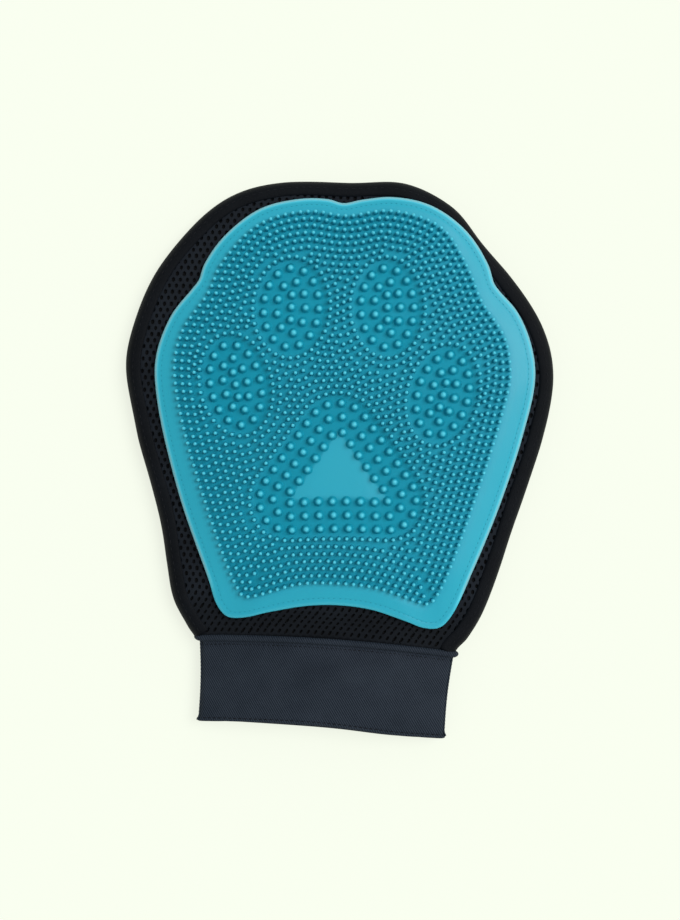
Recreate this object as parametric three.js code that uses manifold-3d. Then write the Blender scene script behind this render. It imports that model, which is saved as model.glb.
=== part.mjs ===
// Grooming glove: a thumbless mitt with a moulded silicone pad on the palm side, air-mesh panels,
// a bound edge and an elastic wrist cuff. It lies on its back: palm side up, fingers toward +Y,
// cuff toward -Y. Millimetres, +Z up, origin at the centre of the underside of its bounding box.

import * as THREE from "three";
import * as BufferGeometryUtils from "three/addons/utils/BufferGeometryUtils.js";
import Module from "manifold-3d";

const wasm = await Module();
wasm.setup();

// ---------------------------------------------------------------- driving dimensions, mm

const GAP = 0.3; // between pieces that touch
const PAD_GAP = 0.5; // under the pad, where two differently faceted domes meet

// Hand part. The outline runs from the right wrist corner round the fingers to the left one.
const HAND_LEAN = THREE.MathUtils.degToRad(2.4); // the hand leans this far off the cuff's square
const HAND_OUTLINE = [
  [49.6, -79.2], [54.8, -72.4], [61.2, -61.6], [68.2, -42], [76.5, -14.5], [84.5, 12], [88.8, 38],
  [83.5, 59.5], [70, 79.5], [57, 94.5], [44, 109.3], [24, 118.2], [0, 118.2], [-28, 117.6],
  [-50.5, 110.4], [-67, 96], [-81, 76.5], [-91.4, 42], [-86.5, 11.5], [-76, -23.5], [-72.4, -44],
  [-69, -59.5], [-63, -70.2], [-58.6, -77],
];
const CUFF_RUN = [[-58, -112], [-38, -150], [35, -152], [48, -116]]; // closes the dome past the wrist
const HAND_CENTRE = [0, 20];
const WRIST_Y = -75.5;
const WRIST_BOW = 2.8; // the palm side bows this far toward the fingers across the wrist
const WRIST_BOW_REACH = [54, -60, -74]; // it dies out at this half width, and between these two lines
const EDGE_STEPS = 60; // facets along the hand's edge
const WRIST_STEPS = 8; // facets along the wrist line
const RINGS = [0.35, 0.6, 0.8, 0.92, 1]; // rings of a domed sheet, as fractions of its outline

// Heights of the layers
const PALM_EDGE_Z = 9.4; // outer face of the palm mesh, along the binding
const PALM_CROWN_Z = 19; // at the middle of the hand
const PALM_WRIST_Z = 14; // at the middle of the wrist
const DOME_POWER = 3;
const BACK_EDGE_Z = 1.2; // the back curls up by this much at the binding
const BACK_FLAT = 0.8; // fraction of the back that lies flat
const MESH_THICKNESS = 2.2;
const BACK_THICKNESS = 2.5;
const LINING_THICKNESS = 0.8;

// Binding round the edge
const BINDING_WIDTH = 6.6;
const BINDING_HEIGHT = 7.8;
const BINDING_MID_Z = 5.1;
const THREAD_RADIUS = 0.3;
const THREAD_SIDES = 4;

// Silicone pad outline, anticlockwise from the middle of its bottom arch, with four lobes at the top
const PAD_OUTLINE = [
  [0, -58.6], [15, -60.4], [28, -65], [36, -68.2], [42.5, -67.8], [47.5, -62.5], [56.3, -42.5],
  [66, -17.5], [75, 11.7], [80, 37], [78, 51.5], [72, 64.8], [64.2, 73.4], [62, 76.4], [59.5, 84.2],
  [50.3, 98], [35, 108.4], [19, 111.4], [6, 109.9], [-1.6, 108.2], [-8, 109.8], [-20, 109.6],
  [-36.3, 105], [-51.2, 92.7], [-58.8, 81], [-60.8, 74.4], [-63.6, 70.6], [-72.1, 59.4], [-78, 42],
  [-77, 24], [-67, -14.8], [-54, -49], [-50, -60.5], [-45.5, -65.6], [-38.5, -65.8], [-28, -62.6],
  [-14, -59.4],
];
const PAD_STEPS = 74;

// Outline of the nub field, the same way round; the smooth rim outside it is widest at the right
const FIELD_OUTLINE = [
  [0, -49.5], [16, -51], [30, -55.5], [37.5, -57.5], [41.5, -53], [57.5, -7.7], [66, 22], [69, 38],
  [66.4, 53], [56, 69], [51.5, 80], [41, 97], [31, 102.5], [16, 105], [0, 102.4], [-15, 104],
  [-30, 101], [-40, 95], [-52, 80], [-56.5, 69], [-67, 52.7], [-69.8, 39], [-67.6, 22], [-59, -8],
  [-42.5, -51], [-39, -56], [-35, -56], [-16, -50.2],
];
const PAD_BASE = 2.3;
const RIM_ROUND = 0.8;
const NUB_HEIGHT = 3.4;
const STITCH_INSET = 3;

// Paw wells in the nub field, with bigger nubs standing in them: x, y, half width, half length, tilt
const TOE_WELLS = [
  [-21.7, 63.3, 15, 20, -2], [17.5, 64.2, 14.5, 20, 2], [-43.6, 31.2, 14, 20.5, 14], [41, 29, 14, 20.5, -14],
];
const TOE_ROWS = [3.7, 9.2]; // rows of big nubs, this far in from a toe well's edge
const PLAIN_TRIANGLE = [[-1.3, 11.4], [-19.5, -15.6], [17.8, -14.7]]; // smooth patch in the palm well
const PALM_ROWS = [2.2, 7.75, 13.3]; // rows of big nubs, this far out from the triangle
const PALM_WELL_REACH = 16.6;
const PALM_ARCH = [1.8, 30]; // the rows below the triangle arch up by this much over this half width
const BIG_NUB_PITCH = 5.7;
const BIG_NUB_BASE = 1.75;
const BIG_NUB_TIP = 1.0;
const BIG_NUB_SIDES = 4;

// Cuff
const CUFF_MIDDLE_X = -0.9;
const CUFF_HALF_WIDTH = 51.7;
const CUFF_TOP_Y = WRIST_Y - 3.2;
const CUFF_BOTTOM_Y = WRIST_Y - 36.5;
const CUFF_TAPER = 0.035;
const CUFF_CREST_Z = 13.2; // middle of the palm half's wall
const CUFF_SIDE_Z = 6.9;
const CUFF_BACK_Z = 2.2; // middle of the back half's wall
const CUFF_BACK_RISE = 1.7;
const CUFF_WALL = 2.6;
const CUFF_SKIN = 0.65;
const ARCH_STEPS = 14;
const ROLL_RADIUS = 1.3;
const SIDE_SEAM_X = 53.4; // from the cuff's middle
const SIDE_SEAM_HALF = [0.8, 3.3]; // half width and half height of its section
const SIDE_SEAM_Z = 5.1;
const TOP_STITCH_INSET = 2;
const HEM_STITCH_INSET = 2;

// ---------------------------------------------------------------- materials

const FINISHES = {
  silicone: { color: 0x3fa9c6, roughness: 0.45, metalness: 0 },
  air_mesh: { color: 0x17181d, roughness: 0.9, metalness: 0 },
  lining: { color: 0x26272c, roughness: 0.85, metalness: 0 },
  binding: { color: 0x101116, roughness: 0.7, metalness: 0 },
  cuff_knit: { color: 0x2a2f3a, roughness: 0.8, metalness: 0 },
  elastic: { color: 0x3a3b3f, roughness: 0.8, metalness: 0 },
  thread: { color: 0x1c1e24, roughness: 0.6, metalness: 0 },
  pad_thread: { color: 0x2f8fae, roughness: 0.6, metalness: 0 },
};

// ---------------------------------------------------------------- plane geometry

function smoothstep(low, high, value) {
  return THREE.MathUtils.smoothstep(value, low, high);
}

function lean([x, y]) {
  const point = new THREE.Vector2(x, y).rotateAround(new THREE.Vector2(), HAND_LEAN);
  return [point.x, point.y];
}

function closedCurve(points, count) {
  const path = points.map(([x, y]) => new THREE.Vector3(x, y, 0));
  const curve = new THREE.CatmullRomCurve3(path, true, "centripetal");
  curve.arcLengthDivisions = 800;
  return curve.getSpacedPoints(count).slice(0, -1).map((point) => [point.x, point.y]);
}

// Moves a closed anticlockwise loop inward by a distance.
function insetLoop(loop, distance) {
  return loop.map(([x, y], index) => {
    const before = loop.at(index - 1);
    const after = loop[(index + 1) % loop.length];
    const along = new THREE.Vector2(after[0] - before[0], after[1] - before[1]).normalize();
    return [x - along.y * distance, y + along.x * distance];
  });
}

function resample(points, steps, closed = false) {
  const path = new THREE.CurvePath();
  const all = closed ? [...points, points[0]] : points;
  for (let index = 1; index < all.length; index += 1) {
    path.add(new THREE.LineCurve(new THREE.Vector2(...all[index - 1]), new THREE.Vector2(...all[index])));
  }
  const spaced = path.getSpacedPoints(steps).map((point) => [point.x, point.y]);
  return closed ? spaced.slice(0, -1) : spaced;
}

const HAND_LOOP = closedCurve([...HAND_OUTLINE, ...CUFF_RUN].map(lean), 300);

// The part of an inset hand loop beyond a line across the wrist, from its right end to its left end.
function handEdge(inset, lowestY, steps = EDGE_STEPS) {
  const loop = insetLoop(HAND_LOOP, inset);
  const start = loop.findIndex(([, y], index) => y > lowestY && loop.at(index - 1)[1] <= lowestY);
  const turned = [...loop.slice(start), ...loop.slice(0, start)];
  const last = turned.findIndex(([, y]) => y <= lowestY);
  const crossing = (low, high) => {
    const share = (lowestY - low[1]) / (high[1] - low[1]);
    return [THREE.MathUtils.lerp(low[0], high[0], share), lowestY];
  };
  const rightEnd = crossing(turned.at(-1), turned[0]);
  const leftEnd = crossing(turned[last], turned[last - 1]);
  const run = [rightEnd, ...turned.slice(0, last), leftEnd];
  return resample(run, steps);
}

// Outline of a hand panel: its curved edge closed by the wrist line.
function panelLoop(inset) {
  const edge = handEdge(inset, WRIST_Y);
  const wrist = resample([edge.at(-1), edge[0]], WRIST_STEPS).slice(1, -1);
  return [...edge, ...wrist];
}

const PANEL_INSET = BINDING_WIDTH + GAP;
const DOME_LOOP = insetLoop(HAND_LOOP, PANEL_INSET);

// How far out a point lies between the hand's centre, 0, and the dome's outline, 1.
function edgeFraction(x, y) {
  const [centreX, centreY] = HAND_CENTRE;
  const ray = new THREE.Vector2(x - centreX, y - centreY);
  if (ray.length() < 1e-6) {
    return 0;
  }
  const points = DOME_LOOP.map(([px, py]) => new THREE.Vector2(px - centreX, py - centreY));
  for (let index = 0; index < points.length; index += 1) {
    const from = points[index];
    const to = points[(index + 1) % points.length];
    const isAhead = from.cross(ray) >= 0 && to.cross(ray) < 0 && from.dot(ray) > 0;
    if (isAhead) {
      const side = to.clone().sub(from);
      const reach = from.cross(side) / ray.cross(side);
      return 1 / reach;
    }
  }
  return 1;
}

// ---------------------------------------------------------------- heights of the domed layers

function palmFace(x, y) {
  const crown = THREE.MathUtils.lerp(PALM_WRIST_Z, PALM_CROWN_Z, smoothstep(WRIST_Y, -38, y));
  const fraction = Math.min(edgeFraction(x, y), 1);
  return PALM_EDGE_Z + (crown - PALM_EDGE_Z) * (1 - fraction ** DOME_POWER);
}

function backFace(x, y) {
  const curl = Math.max(0, edgeFraction(x, y) - BACK_FLAT) / (1 - BACK_FLAT);
  return BACK_EDGE_Z * Math.min(curl, 1) ** 2;
}

// ---------------------------------------------------------------- solids

function signedVolume(points, faces) {
  return faces.reduce((sum, [a, b, c]) => {
    const cross = new THREE.Vector3().crossVectors(points[b], points[c]);
    return sum + points[a].dot(cross) / 6;
  }, 0);
}

// A closed solid from points and triangles, turned so that its faces point out.
function solid(points, faces) {
  const outward = signedVolume(points, faces) > 0;
  const index = faces.flatMap(([a, b, c]) => (outward ? [a, b, c] : [a, c, b]));
  const geometry = new THREE.BufferGeometry().setFromPoints(points);
  geometry.setIndex(index);
  return geometry;
}

// A sheet over a loop seen from above, between two height functions: rings about the hand's centre.
function domedSheet(loop, top, bottom, rings = RINGS) {
  const [centreX, centreY] = HAND_CENTRE;
  const count = loop.length;
  const points = [];
  const faces = [];
  for (const height of [top, bottom]) {
    points.push(new THREE.Vector3(centreX, centreY, height(centreX, centreY, 0)));
    for (const ring of rings) {
      for (const [x, y] of loop) {
        const px = THREE.MathUtils.lerp(centreX, x, ring);
        const py = THREE.MathUtils.lerp(centreY, y, ring);
        points.push(new THREE.Vector3(px, py, height(px, py, ring)));
      }
    }
  }
  const layer = 1 + rings.length * count;
  const at = (side, ring, step) => side * layer + 1 + ring * count + (step % count);
  for (let step = 0; step < count; step += 1) {
    faces.push([0, at(0, 0, step), at(0, 0, step + 1)]);
    faces.push([layer, at(1, 0, step + 1), at(1, 0, step)]);
    for (let ring = 1; ring < rings.length; ring += 1) {
      faces.push([at(0, ring - 1, step), at(0, ring, step), at(0, ring, step + 1)]);
      faces.push([at(0, ring - 1, step), at(0, ring, step + 1), at(0, ring - 1, step + 1)]);
      faces.push([at(1, ring - 1, step), at(1, ring, step + 1), at(1, ring, step)]);
      faces.push([at(1, ring - 1, step), at(1, ring - 1, step + 1), at(1, ring, step + 1)]);
    }
    const rim = rings.length - 1;
    faces.push([at(0, rim, step), at(1, rim, step), at(1, rim, step + 1)]);
    faces.push([at(0, rim, step), at(1, rim, step + 1), at(0, rim, step + 1)]);
  }
  return solid(points, faces);
}

// A closed section swept through frames. A frame has an origin and the section's two directions.
function sweep(section, frames, closed = false) {
  const size = section.length;
  const points = frames.flatMap(({ origin, across, up }) =>
    section.map(([a, b]) => origin.clone().addScaledVector(across, a).addScaledVector(up, b)),
  );
  const faces = [];
  const spans = closed ? frames.length : frames.length - 1;
  for (let span = 0; span < spans; span += 1) {
    const near = span * size;
    const far = ((span + 1) % frames.length) * size;
    for (let side = 0; side < size; side += 1) {
      const next = (side + 1) % size;
      faces.push([near + side, far + side, far + next]);
      faces.push([near + side, far + next, near + next]);
    }
  }
  if (!closed) {
    const flat = section.map(([a, b]) => new THREE.Vector2(a, b));
    const last = (frames.length - 1) * size;
    for (const [a, b, c] of THREE.ShapeUtils.triangulateShape(flat, [])) {
      const sameWay = THREE.ShapeUtils.area([flat[a], flat[b], flat[c]]) * THREE.ShapeUtils.area(flat) > 0;
      const [second, third] = sameWay ? [b, c] : [c, b];
      faces.push([a, second, third]);
      faces.push([last + a, last + third, last + second]);
    }
  }
  return solid(points, faces);
}

function roundSection(halfWidth, halfHeight, sides, squareness = 1) {
  return Array.from({ length: sides }, (_, side) => {
    const angle = ((side + 0.5) / sides) * 2 * Math.PI;
    const squash = (value) => Math.sign(value) * Math.abs(value) ** squareness;
    return [halfWidth * squash(Math.cos(angle)), halfHeight * squash(Math.sin(angle))];
  });
}

// Frames that follow a level or domed line round the hand, with `across` pointing outward.
function edgeFrames(line, height, closed = false) {
  return line.map(([x, y], index) => {
    const before = closed ? line.at(index - 1) : line[Math.max(index - 1, 0)];
    const after = closed ? line[(index + 1) % line.length] : line[Math.min(index + 1, line.length - 1)];
    const along = new THREE.Vector3(after[0] - before[0], after[1] - before[1], 0).normalize();
    const up = new THREE.Vector3(0, 0, 1);
    const across = new THREE.Vector3().crossVectors(along, up);
    return { origin: new THREE.Vector3(x, y, height(x, y)), across, up };
  });
}

// ---------------------------------------------------------------- hand pieces

function palmMesh() {
  return domedSheet(panelLoop(PANEL_INSET), palmFace, (x, y) => palmFace(x, y) - MESH_THICKNESS);
}

function palmLining() {
  const top = (x, y) => palmFace(x, y) - MESH_THICKNESS - GAP;
  return domedSheet(panelLoop(PANEL_INSET), top, (x, y) => top(x, y) - LINING_THICKNESS);
}

function backPanel() {
  return domedSheet(panelLoop(PANEL_INSET), (x, y) => backFace(x, y) + BACK_THICKNESS, backFace);
}

function backLining() {
  const bottom = (x, y) => backFace(x, y) + BACK_THICKNESS + GAP;
  return domedSheet(panelLoop(PANEL_INSET), (x, y) => bottom(x, y) + LINING_THICKNESS, bottom);
}

function edgeBinding() {
  const line = handEdge(BINDING_WIDTH / 2, WRIST_Y + 1.4);
  const section = roundSection(BINDING_WIDTH / 2, BINDING_HEIGHT / 2, 10, 0.75);
  return sweep(section, edgeFrames(line, () => BINDING_MID_Z));
}

// Thread on one face of the binding: side is +1 on the palm face and -1 on the back.
function bindingThread(side) {
  const line = handEdge(BINDING_WIDTH * 0.62, WRIST_Y + 2.4);
  const height = BINDING_MID_Z + side * (BINDING_HEIGHT / 2 + GAP + THREAD_RADIUS);
  return sweep(roundSection(THREAD_RADIUS, THREAD_RADIUS, THREAD_SIDES), edgeFrames(line, () => height));
}

// ---------------------------------------------------------------- silicone pad

function padLoop(inset) {
  const loop = closedCurve(PAD_OUTLINE.map(lean), 400);
  return resample(insetLoop(loop, inset), PAD_STEPS, true);
}

function fieldLoop() {
  return resample(closedCurve(FIELD_OUTLINE.map(lean), 400), PAD_STEPS, true);
}

function padBaseFace(x, y) {
  return palmFace(x, y) + PAD_GAP + PAD_BASE;
}

function padBase() {
  const top = (x, y, ring) => padBaseFace(x, y) - (ring === 1 ? RIM_ROUND : 0);
  const rings = [0.3, 0.55, 0.75, 0.88, 0.97, 1];
  return domedSheet(padLoop(0), top, (x, y) => palmFace(x, y) + PAD_GAP, rings);
}

function nubField() {
  const sunk = 0.6;
  const top = (x, y) => padBaseFace(x, y) + NUB_HEIGHT;
  const bottom = (x, y) => padBaseFace(x, y) - sunk;
  return domedSheet(fieldLoop(), top, bottom, [0.35, 0.65, 0.85, 1]);
}

// Loop of an oval toe well, anticlockwise.
function toeLoop([x, y, halfWidth, halfLength, tilt], inset, steps) {
  const turn = THREE.MathUtils.degToRad(tilt);
  const reach = [halfWidth - inset, halfLength - inset];
  const oval = new THREE.EllipseCurve(0, 0, ...reach, 0, 2 * Math.PI, false, turn);
  return oval.getSpacedPoints(steps).slice(0, -1).map((point) => lean([x + point.x, y + point.y]));
}

// Loop at a distance round the plain triangle, with round corners, anticlockwise.
function palmLoop(distance, steps) {
  const loop = PLAIN_TRIANGLE.flatMap((corner, index) => {
    const before = new THREE.Vector2(...PLAIN_TRIANGLE.at(index - 1));
    const here = new THREE.Vector2(...corner);
    const after = new THREE.Vector2(...PLAIN_TRIANGLE[(index + 1) % PLAIN_TRIANGLE.length]);
    const start = here.clone().sub(before).angle() - Math.PI / 2;
    const turn = THREE.MathUtils.euclideanModulo(after.sub(here).angle() - Math.PI / 2 - start, 2 * Math.PI);
    const arc = new THREE.EllipseCurve(here.x, here.y, distance, distance, start, start + turn);
    return arc.getPoints(12).map((point) => [point.x, point.y]);
  });
  const [rise, halfWidth] = PALM_ARCH;
  const arched = resample(loop, 200, true).map(([x, y]) => {
    const share = Math.max(0, 1 - (x / halfWidth) ** 2) * (1 - smoothstep(-14, -6, y));
    return lean([x, y + rise * share]);
  });
  return resample(arched, steps, true);
}

function wellCutter(loop) {
  const shape = new THREE.Shape(loop.map(([x, y]) => new THREE.Vector2(x, y)));
  return new THREE.ExtrudeGeometry(shape, { depth: PALM_CROWN_Z * 2, bevelEnabled: false });
}

function loopLength(loop) {
  return loop.reduce((sum, [x, y], index) => {
    const [nextX, nextY] = loop[(index + 1) % loop.length];
    return sum + Math.hypot(nextX - x, nextY - y);
  }, 0);
}

// Nub centres spaced evenly along a row; `row` gives its loop in a number of steps.
function spotsAlong(row) {
  return row(Math.round(loopLength(row(200)) / BIG_NUB_PITCH));
}

// Rows that follow a toe well's edge, and three nubs along its middle.
function toeSpots(toe) {
  const rows = TOE_ROWS.flatMap((inset) => spotsAlong((steps) => toeLoop(toe, inset, steps)));
  const [x, y, , , tilt] = toe;
  const turn = THREE.MathUtils.degToRad(tilt);
  const middle = [-1, 0, 1].map((step) => {
    const along = step * BIG_NUB_PITCH * 0.9;
    return lean([x - along * Math.sin(turn), y + along * Math.cos(turn)]);
  });
  return [...rows, ...middle];
}

// Rows round the plain triangle in the palm well.
function palmSpots() {
  return PALM_ROWS.flatMap((distance) => spotsAlong((steps) => palmLoop(distance, steps)));
}

function bigNub([x, y]) {
  const sunk = 0.6;
  const height = NUB_HEIGHT + sunk;
  const nub = new THREE.CylinderGeometry(BIG_NUB_TIP, BIG_NUB_BASE, height, BIG_NUB_SIDES);
  nub.rotateX(Math.PI / 2);
  nub.translate(x, y, padBaseFace(x, y) - sunk + height / 2);
  return nub;
}

function toManifold(geometry) {
  const plain = geometry.clone();
  plain.deleteAttribute("normal");
  plain.deleteAttribute("uv");
  const merged = BufferGeometryUtils.mergeVertices(plain, 1e-4);
  return new wasm.Manifold(
    new wasm.Mesh({
      numProp: 3,
      vertProperties: new Float32Array(merged.attributes.position.array),
      triVerts: new Uint32Array(merged.index.array),
    }),
  );
}

function fromManifold(manifold) {
  const mesh = manifold.getMesh();
  const geometry = new THREE.BufferGeometry();
  geometry.setAttribute("position", new THREE.BufferAttribute(new Float32Array(mesh.vertProperties), 3));
  geometry.setIndex([...mesh.triVerts]);
  return geometry;
}

function siliconePad() {
  const wells = [...TOE_WELLS.map((toe) => toeLoop(toe, 0, 16)), palmLoop(PALM_WELL_REACH, 24)];
  const cutters = wells.map((loop) => toManifold(wellCutter(loop)));
  const field = cutters.reduce((rest, cutter) => rest.subtract(cutter), toManifold(nubField()));
  const nubs = [...TOE_WELLS.flatMap(toeSpots), ...palmSpots()].map((spot) => toManifold(bigNub(spot)));
  const pad = toManifold(padBase()).add(field);
  return fromManifold(nubs.reduce((whole, nub) => whole.add(nub), pad));
}

function padStitching() {
  const height = (x, y) => padBaseFace(x, y) + PAD_GAP + THREAD_RADIUS;
  const frames = edgeFrames(padLoop(STITCH_INSET), height, true);
  return sweep(roundSection(THREAD_RADIUS, THREAD_RADIUS, THREAD_SIDES), frames, true);
}

// ---------------------------------------------------------------- cuff pieces

// Frames along one half of the cuff, across the wrist from left to right. `across` is +Y.
function archFrames(half, halfWidth = CUFF_HALF_WIDTH) {
  const height = (share) => {
    if (half === "palm") {
      return CUFF_SIDE_Z + (CUFF_CREST_Z - CUFF_SIDE_Z) * (1 - Math.abs(share) ** 2.2);
    }
    return CUFF_BACK_Z + CUFF_BACK_RISE * Math.abs(share) ** 6;
  };
  const outward = half === "palm" ? 1 : -1;
  return Array.from({ length: ARCH_STEPS + 1 }, (_, step) => {
    const share = (2 * step) / ARCH_STEPS - 1;
    const nudge = 1e-3;
    const slope = (height(share + nudge) - height(share - nudge)) / (2 * nudge * halfWidth);
    const up = new THREE.Vector3(-slope, 0, 1).normalize().multiplyScalar(outward);
    const origin = new THREE.Vector3(CUFF_MIDDLE_X + share * halfWidth, 0, height(share));
    return { origin, across: new THREE.Vector3(0, 1, 0), up };
  });
}

// Narrows the cuff toward its open end.
function taper(geometry) {
  const position = geometry.attributes.position;
  for (let index = 0; index < position.count; index += 1) {
    const down = (WRIST_Y - position.getY(index)) / (WRIST_Y - CUFF_BOTTOM_Y);
    const x = THREE.MathUtils.lerp(position.getX(index), CUFF_MIDDLE_X, CUFF_TAPER * down);
    position.setX(index, x);
  }
  return geometry;
}

// Knit folded double at the hem, open toward the wrist, with the elastic between its two skins.
function cuffCover(half) {
  const wall = CUFF_WALL / 2;
  const inner = wall - CUFF_SKIN;
  const fold = CUFF_BOTTOM_Y + CUFF_SKIN;
  const section = [
    [CUFF_TOP_Y, wall], [CUFF_TOP_Y, inner], [fold, inner], [fold, -inner],
    [CUFF_TOP_Y, -inner], [CUFF_TOP_Y, -wall], [CUFF_BOTTOM_Y, -wall], [CUFF_BOTTOM_Y, wall],
  ];
  return taper(sweep(section, archFrames(half)));
}

function cuffElastic(half) {
  const thick = CUFF_WALL / 2 - CUFF_SKIN - GAP;
  const low = CUFF_BOTTOM_Y + CUFF_SKIN + GAP;
  const section = [[CUFF_TOP_Y, thick], [low, thick], [low, -thick], [CUFF_TOP_Y, -thick]];
  return taper(sweep(section, archFrames(half)));
}

function cuffStitching(half, y) {
  const raise = CUFF_WALL / 2 + GAP + THREAD_RADIUS;
  const thread = roundSection(THREAD_RADIUS, THREAD_RADIUS, THREAD_SIDES);
  const section = thread.map(([a, b]) => [y + a, raise + b]);
  return taper(sweep(section, archFrames(half, CUFF_HALF_WIDTH - 1.5)));
}

function wristRoll(half) {
  const y = WRIST_Y - GAP - ROLL_RADIUS;
  const section = roundSection(ROLL_RADIUS, ROLL_RADIUS, 8).map(([a, b]) => [y + a, b]);
  return sweep(section, archFrames(half));
}

function sideSeam(side) {
  const [halfWidth, halfHeight] = SIDE_SEAM_HALF;
  const frames = [CUFF_TOP_Y, CUFF_BOTTOM_Y].map((y) => ({
    origin: new THREE.Vector3(CUFF_MIDDLE_X + side * SIDE_SEAM_X, y, SIDE_SEAM_Z),
    across: new THREE.Vector3(1, 0, 0),
    up: new THREE.Vector3(0, 0, 1),
  }));
  return taper(sweep(roundSection(halfWidth, halfHeight, 8, 0.7), frames));
}

// ---------------------------------------------------------------- assembly

const glove = new THREE.Group();

// Bows the palm side of the wrist toward the fingers, in every piece alike.
function bowWrist(geometry) {
  const [halfWidth, startY, fullY] = WRIST_BOW_REACH;
  const position = geometry.attributes.position;
  for (let index = 0; index < position.count; index += 1) {
    const point = new THREE.Vector3().fromBufferAttribute(position, index);
    const width = Math.max(0, 1 - ((point.x - CUFF_MIDDLE_X) / halfWidth) ** 2);
    const height = smoothstep(CUFF_BACK_Z + 3, CUFF_BACK_Z + 8, point.z);
    const length = 1 - smoothstep(fullY, startY, point.y);
    position.setY(index, point.y + WRIST_BOW * width * height * length);
  }
  return geometry;
}

function addPiece(name, finish, geometry) {
  const mesh = new THREE.Mesh(bowWrist(geometry), new THREE.MeshStandardMaterial(FINISHES[finish]));
  mesh.name = name;
  mesh.geometry.computeVertexNormals();
  glove.add(mesh);
}

addPiece("back_panel", "air_mesh", backPanel());
addPiece("back_lining", "lining", backLining());
addPiece("palm_lining", "lining", palmLining());
addPiece("palm_mesh", "air_mesh", palmMesh());
addPiece("silicone_pad", "silicone", siliconePad());
addPiece("pad_stitching", "pad_thread", padStitching());
addPiece("edge_binding", "binding", edgeBinding());
addPiece("binding_needle_thread", "thread", bindingThread(1));
addPiece("binding_bobbin_thread", "thread", bindingThread(-1));
for (const half of ["palm", "back"]) {
  addPiece(`wrist_seam_roll_${half}`, "cuff_knit", wristRoll(half));
  addPiece(`cuff_${half}_cover`, "cuff_knit", cuffCover(half));
  addPiece(`cuff_${half}_elastic`, "elastic", cuffElastic(half));
  addPiece(`cuff_${half}_top_stitching`, "thread", cuffStitching(half, CUFF_TOP_Y - TOP_STITCH_INSET));
  addPiece(`cuff_${half}_hem_stitching`, "thread", cuffStitching(half, CUFF_BOTTOM_Y + HEM_STITCH_INSET));
}
addPiece("cuff_side_seam_left", "cuff_knit", sideSeam(-1));
addPiece("cuff_side_seam_right", "cuff_knit", sideSeam(1));

const middle = new THREE.Box3().setFromObject(glove).getCenter(new THREE.Vector3());
glove.position.set(-middle.x, -middle.y, 0);

export default glove;
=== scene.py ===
"""Grooming glove, lying on its back with its silicone pad up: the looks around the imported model.

Shapes are worked out in millimetres, with the hand's own outlines, and placed by the frame's boxes.
"""

import math

import bmesh
import bpy
import numpy as np
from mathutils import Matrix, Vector


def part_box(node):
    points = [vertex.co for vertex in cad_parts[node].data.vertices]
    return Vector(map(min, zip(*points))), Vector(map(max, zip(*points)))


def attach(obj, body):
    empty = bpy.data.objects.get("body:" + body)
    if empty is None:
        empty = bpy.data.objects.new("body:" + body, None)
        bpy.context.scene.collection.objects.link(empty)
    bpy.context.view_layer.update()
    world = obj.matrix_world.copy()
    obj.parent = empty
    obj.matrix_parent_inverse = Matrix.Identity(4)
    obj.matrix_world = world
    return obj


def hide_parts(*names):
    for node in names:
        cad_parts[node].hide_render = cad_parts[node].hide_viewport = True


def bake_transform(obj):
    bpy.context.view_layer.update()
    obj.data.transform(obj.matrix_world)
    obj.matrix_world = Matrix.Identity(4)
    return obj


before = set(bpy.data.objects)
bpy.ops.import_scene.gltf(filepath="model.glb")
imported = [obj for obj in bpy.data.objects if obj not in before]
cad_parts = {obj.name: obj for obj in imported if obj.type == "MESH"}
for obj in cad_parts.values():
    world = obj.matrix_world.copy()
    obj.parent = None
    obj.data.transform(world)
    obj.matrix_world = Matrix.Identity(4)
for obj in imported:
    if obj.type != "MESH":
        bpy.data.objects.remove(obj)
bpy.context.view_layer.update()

MM = 0.001
TAU = 2 * math.pi

# ---- driving sizes, mm

HAND_LEAN = math.radians(2.4)
# Hand outline from the right wrist corner round the fingers to the left one, then past the wrist
HAND_OUTLINE = [
    (49.6, -79.2), (54.8, -72.4), (61.2, -61.6), (68.2, -42), (76.5, -14.5), (84.5, 12), (88.8, 38),
    (83.5, 59.5), (70, 79.5), (57, 94.5), (44, 109.3), (24, 118.2), (0, 118.2), (-28, 117.6),
    (-50.5, 110.4), (-67, 96), (-81, 76.5), (-91.4, 42), (-86.5, 11.5), (-76, -23.5), (-72.4, -44),
    (-69, -59.5), (-63, -70.2), (-58.6, -77),
]
CUFF_RUN = [(-58, -112), (-38, -150), (35, -152), (48, -116)]
HAND_CENTRE = np.array([0.0, 20.0])
WRIST_Y = -75.5
WRIST_BOW = 2.8  # the palm side of the wrist bows this far toward the fingers
WRIST_BOW_HALF_WIDTH = 54
WRIST_BOW_FADE_Y = (-74, -60)  # full below the first line and gone above the second
WRIST_BOW_FADE_Z = (5.2, 10.2)  # none on the back, full on the palm side

PALM_EDGE_Z = 9.4
PALM_CROWN_Z = 19.0
PALM_WRIST_Z = 14.0  # the crown's height at the wrist
PALM_FULL_Y = -38  # above this line the crown has its full height
BACK_EDGE_Z = 1.2
BACK_FLAT = 0.8  # the back lies flat over this share of the way out to the binding
MESH_THICKNESS = 2.2
BACK_THICKNESS = 2.5
LINING_ROOM = 0.8  # the space that a lining has
LINING_THICKNESS = 0.6
GAP = 0.3
PANEL_INSET = 2.6  # the mesh panels end this far inside the hand's edge
LINING_INSET = 5.2

BINDING_WIDTH = 6.6
BINDING_LOW, BINDING_HIGH = 1.1, 9.7
BINDING_SKIN = 0.8
PALM_SEAM, BACK_SEAM = 3.45, 5.4  # the binding's stitch lines, this far inside the hand's edge

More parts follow.
